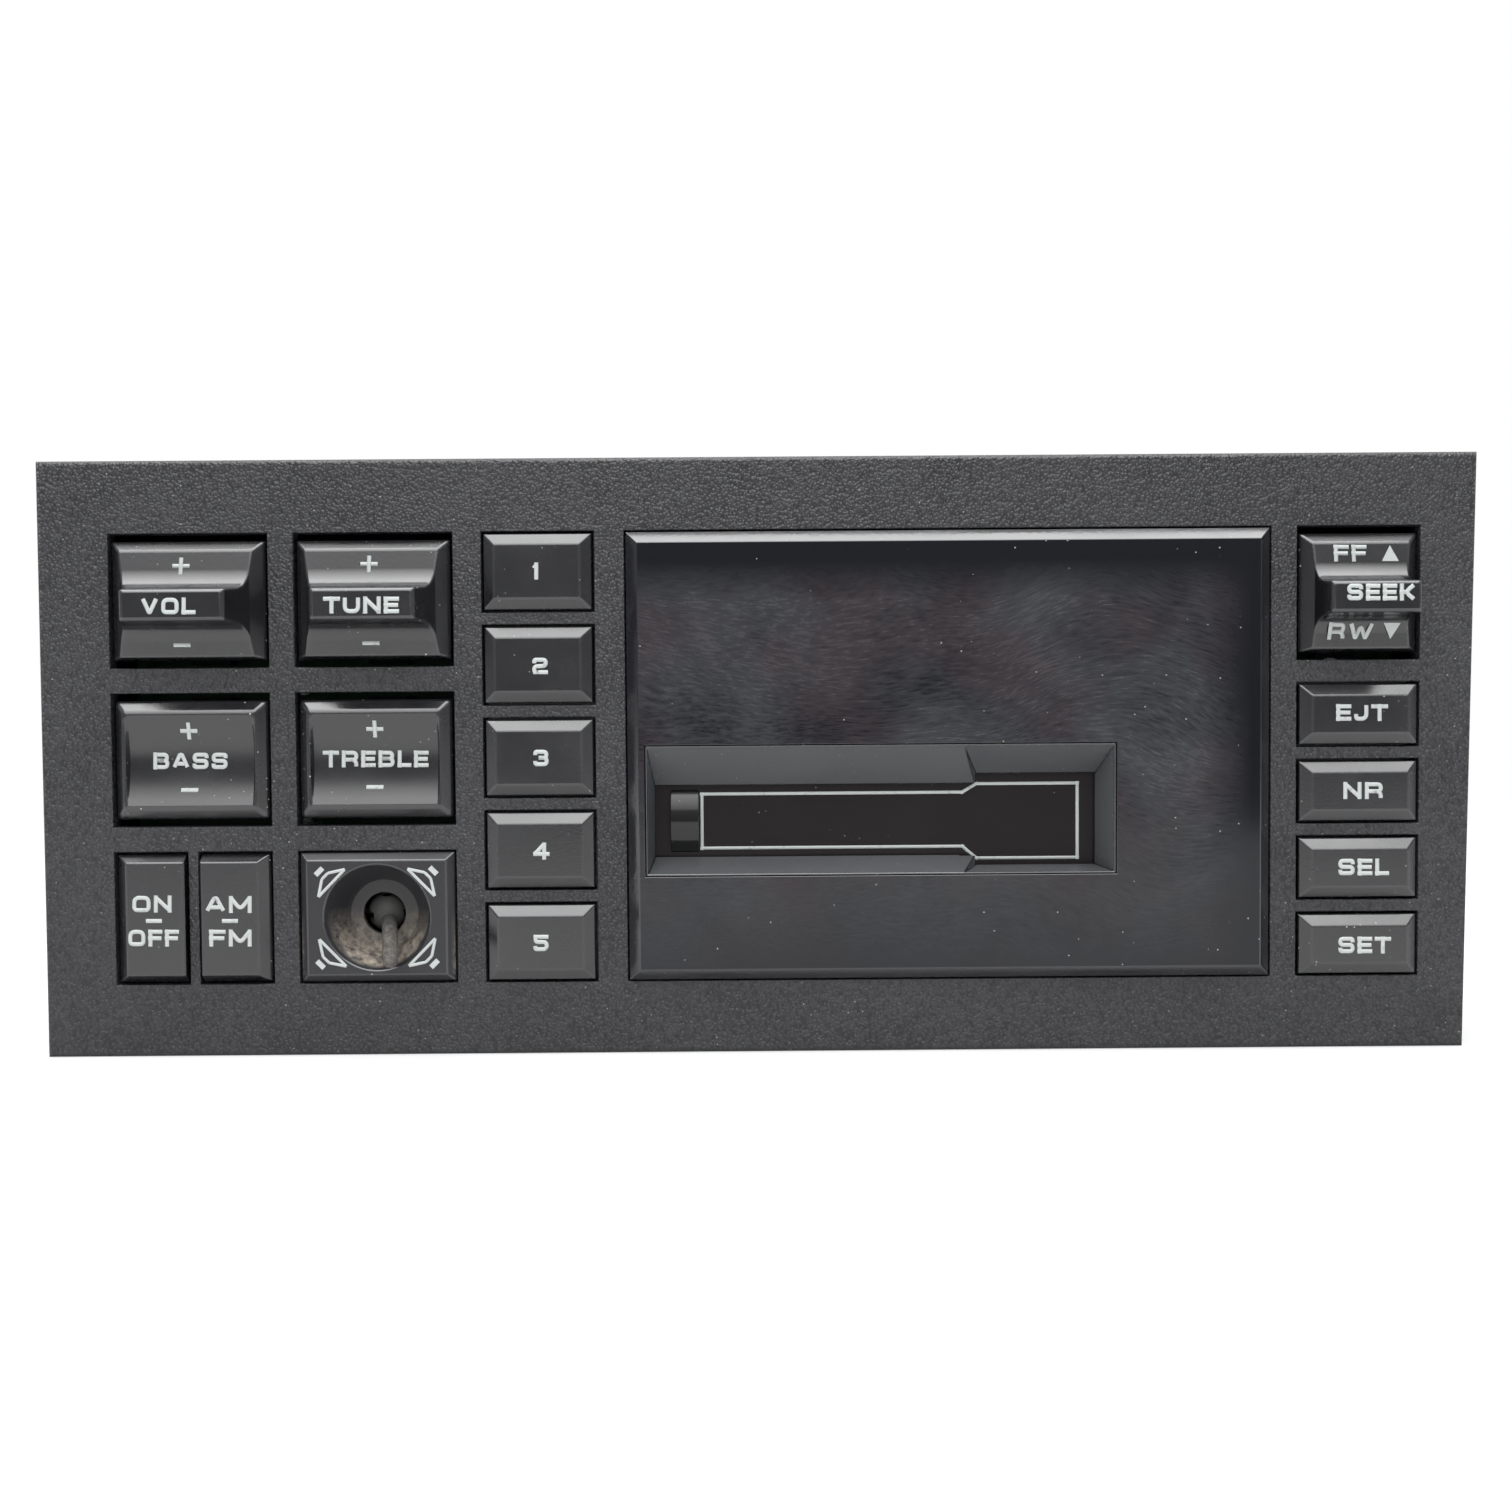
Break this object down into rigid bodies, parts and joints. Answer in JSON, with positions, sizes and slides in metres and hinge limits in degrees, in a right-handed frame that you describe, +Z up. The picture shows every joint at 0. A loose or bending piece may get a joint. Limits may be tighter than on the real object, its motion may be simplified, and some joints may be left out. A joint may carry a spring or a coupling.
{
  "type": "car cassette radio",
  "caption": "Car radio with a cassette slot: a wide nose of rockers, keys, a fader stick and a smoked display window on a slim steel chassis with a tape deck inside.",
  "frame": {"origin": "under the middle of the unit, at the height of the faceplate's bottom edge", "axes": "-Y is out of the face, towards the driver; +X is to the right as the face is seen; +Z is up"},
  "size_m": [0.2154, 0.1736, 0.0895],
  "materials": {
    "bezel_plastic": "dark grey ABS with a fine leather grain",
    "smoked_acrylic": "smoked acrylic, glossy, lightly scratched",
    "surround_plastic": "matte dark grey moulding",
    "door_plastic": "gloss dark plastic with a printed outline",
    "key_plastic": "satin black ABS",
    "housing_plastic": "matte black moulding",
    "socket_plastic": "black nylon",
    "circuit_board": "green solder resist",
    "display_glass": "unlit liquid crystal display in a dark frame",
    "plated_steel": "zinc-plated sheet steel",
    "bright_steel": "bright steel",
    "black_aluminium": "black anodised aluminium",
    "capacitor_sleeve": "dark blue shrink sleeve",
    "copper_winding": "varnished copper winding on a core",
    "fuse_plastic": "clear orange-brown plastic",
    "reel_plastic": "natural acetal",
    "pulley_brass": "turned brass",
    "belt_rubber": "black rubber"
  },
  "bodies": {
    "root": {"nose_housing": "housing_plastic", "front_bezel": "bezel_plastic", "display_window": "smoked_acrylic", "cassette_surround": "surround_plastic", "door_pin": "bright_steel", "door_spring": "bright_steel", "fader_cover": "key_plastic", "key_board": "circuit_board", "side_key_board": "circuit_board", "key_switches": "housing_plastic", "board_screws": "bright_steel", "nose_screws": "bright_steel", "display_module": "display_glass", "display_board": "circuit_board", "chassis_tray": "plated_steel", "top_cover": "plated_steel", "rear_panel": "plated_steel", "chassis_screws": "bright_steel", "heat_sink": "black_aluminium", "power_amp": "housing_plastic", "main_board": "circuit_board", "tuner_can": "bright_steel", "capacitors": "capacitor_sleeve", "choke": "copper_winding", "aerial_socket": "bright_steel", "harness_socket": "socket_plastic", "fuse": "fuse_plastic", "support_stud": "bright_steel", "deck_plate": "plated_steel", "deck_motor": "plated_steel", "drive_belt": "belt_rubber"},
    "cassette_door": {"cassette_door": "door_plastic", "tape_indicator": "smoked_acrylic"},
    "fader_gimbal": {"fader_gimbal": "bright_steel"},
    "fader_stick": {"fader_stick": "key_plastic"},
    "cassette_carrier": {"cassette_carrier": "plated_steel"},
    "head_slide": {"head_slide": "plated_steel", "tape_head": "bright_steel"},
    "pinch_roller": {"pinch_roller": "belt_rubber"},
    "flywheel": {"flywheel": "bright_steel"},
    "motor_pulley": {"motor_pulley": "pulley_brass"},
    "supply_reel": {"supply_reel": "reel_plastic"},
    "takeup_reel": {"takeup_reel": "reel_plastic"},
    "volume_rocker": {"volume_rocker": "key_plastic"},
    "tuning_rocker": {"tuning_rocker": "key_plastic"},
    "bass_rocker": {"bass_rocker": "key_plastic"},
    "treble_rocker": {"treble_rocker": "key_plastic"},
    "seek_rocker": {"seek_rocker": "key_plastic"},
    "power_key": {"power_key": "key_plastic"},
    "band_key": {"band_key": "key_plastic"},
    "preset_key_1": {"preset_key_1": "key_plastic"},
    "preset_key_2": {"preset_key_2": "key_plastic"},
    "preset_key_3": {"preset_key_3": "key_plastic"},
    "preset_key_4": {"preset_key_4": "key_plastic"},
    "preset_key_5": {"preset_key_5": "key_plastic"},
    "eject_key": {"eject_key": "key_plastic"},
    "noise_key": {"noise_key": "key_plastic"},
    "select_key": {"select_key": "key_plastic"},
    "set_key": {"set_key": "key_plastic"}
  },
  "joints": [
    {"name": "volume_rocker_tip", "type": "hinge", "parent": "root", "child": "volume_rocker", "pos_m": [-0.0851, -0.07345, 0.06855], "axis": [1, 0, 0], "range_deg": [-5, 5], "stiffness_Nm_per_rad": 0.08},
    {"name": "tuning_rocker_tip", "type": "hinge", "parent": "root", "child": "tuning_rocker", "pos_m": [-0.0575, -0.07345, 0.06855], "axis": [1, 0, 0], "range_deg": [-5, 5], "stiffness_Nm_per_rad": 0.08},
    {"name": "bass_rocker_tip", "type": "hinge", "parent": "root", "child": "bass_rocker", "pos_m": [-0.0851, -0.07345, 0.04475], "axis": [1, 0, 0], "range_deg": [-5, 5], "stiffness_Nm_per_rad": 0.08},
    {"name": "treble_rocker_tip", "type": "hinge", "parent": "root", "child": "treble_rocker", "pos_m": [-0.0575, -0.07345, 0.04475], "axis": [1, 0, 0], "range_deg": [-5, 5], "stiffness_Nm_per_rad": 0.08},
    {"name": "seek_rocker_tip", "type": "hinge", "parent": "root", "child": "seek_rocker", "pos_m": [0.08987, -0.07345, 0.06855], "axis": [1, 0, 0], "range_deg": [-5, 5], "stiffness_Nm_per_rad": 0.08},
    {"name": "power_key_push", "type": "slide", "parent": "root", "child": "power_key", "axis": [0, 1, 0], "range_m": [0, 0.0012], "stiffness_N_per_m": 300},
    {"name": "band_key_push", "type": "slide", "parent": "root", "child": "band_key", "axis": [0, 1, 0], "range_m": [0, 0.0012], "stiffness_N_per_m": 300},
    {"name": "preset_key_1_push", "type": "slide", "parent": "root", "child": "preset_key_1", "axis": [0, 1, 0], "range_m": [0, 0.0012], "stiffness_N_per_m": 300},
    {"name": "preset_key_2_push", "type": "slide", "parent": "root", "child": "preset_key_2", "axis": [0, 1, 0], "range_m": [0, 0.0012], "stiffness_N_per_m": 300},
    {"name": "preset_key_3_push", "type": "slide", "parent": "root", "child": "preset_key_3", "axis": [0, 1, 0], "range_m": [0, 0.0012], "stiffness_N_per_m": 300},
    {"name": "preset_key_4_push", "type": "slide", "parent": "root", "child": "preset_key_4", "axis": [0, 1, 0], "range_m": [0, 0.0012], "stiffness_N_per_m": 300},
    {"name": "preset_key_5_push", "type": "slide", "parent": "root", "child": "preset_key_5", "axis": [0, 1, 0], "range_m": [0, 0.0012], "stiffness_N_per_m": 300},
    {"name": "eject_key_push", "type": "slide", "parent": "root", "child": "eject_key", "axis": [0, 1, 0], "range_m": [0, 0.0012], "stiffness_N_per_m": 300},
    {"name": "noise_key_push", "type": "slide", "parent": "root", "child": "noise_key", "axis": [0, 1, 0], "range_m": [0, 0.0012], "stiffness_N_per_m": 300},
    {"name": "select_key_push", "type": "slide", "parent": "root", "child": "select_key", "axis": [0, 1, 0], "range_m": [0, 0.0012], "stiffness_N_per_m": 300},
    {"name": "set_key_push", "type": "slide", "parent": "root", "child": "set_key", "axis": [0, 1, 0], "range_m": [0, 0.0012], "stiffness_N_per_m": 300},
    {"name": "cassette_door_swing", "type": "hinge", "parent": "root", "child": "cassette_door", "pos_m": [0.0176, -0.07245, 0.04565], "axis": [1, 0, 0], "range_deg": [0, 88], "stiffness_Nm_per_rad": 0.002, "springref_deg": -28.65},
    {"name": "fader_up_down", "type": "hinge", "parent": "root", "child": "fader_gimbal", "pos_m": [-0.0575, -0.07205, 0.02095], "axis": [1, 0, 0], "range_deg": [-50, 0]},
    {"name": "fader_left_right", "type": "hinge", "parent": "fader_gimbal", "child": "fader_stick", "pos_m": [-0.0575, -0.07205, 0.02095], "axis": [0, -0.4226, 0.9063], "range_deg": [-28, 4]},
    {"name": "carrier_drop", "type": "slide", "parent": "root", "child": "cassette_carrier", "axis": [0, 0, 1], "range_m": [-0.006, 0]},
    {"name": "head_engage", "type": "slide", "parent": "root", "child": "head_slide", "axis": [1, 0, 0], "range_m": [-0.0118, 0]},
    {"name": "pinch_spin", "type": "hinge", "parent": "head_slide", "child": "pinch_roller", "pos_m": [0.0595, 0.02195, 0.026], "axis": [0, 0, 1], "continuous": true},
    {"name": "flywheel_spin", "type": "hinge", "parent": "root", "child": "flywheel", "pos_m": [0.0409, 0.02195, 0.02005], "axis": [0, 0, 1], "continuous": true},
    {"name": "supply_reel_spin", "type": "hinge", "parent": "root", "child": "supply_reel", "pos_m": [0.0198, -0.0232, 0.02005], "axis": [0, 0, 1], "continuous": true},
    {"name": "takeup_reel_spin", "type": "hinge", "parent": "root", "child": "takeup_reel", "pos_m": [0.0198, 0.0193, 0.02005], "axis": [0, 0, 1], "continuous": true},
    {"name": "motor_pulley_spin", "type": "hinge", "parent": "root", "child": "motor_pulley", "pos_m": [-0.0364, 0.03295, 0.02005], "axis": [0, 0, 1], "continuous": true}
  ],
  "couplings": [
    {"joint": "motor_pulley_spin", "follows": "flywheel_spin", "ratio": 4.5}
  ]
}
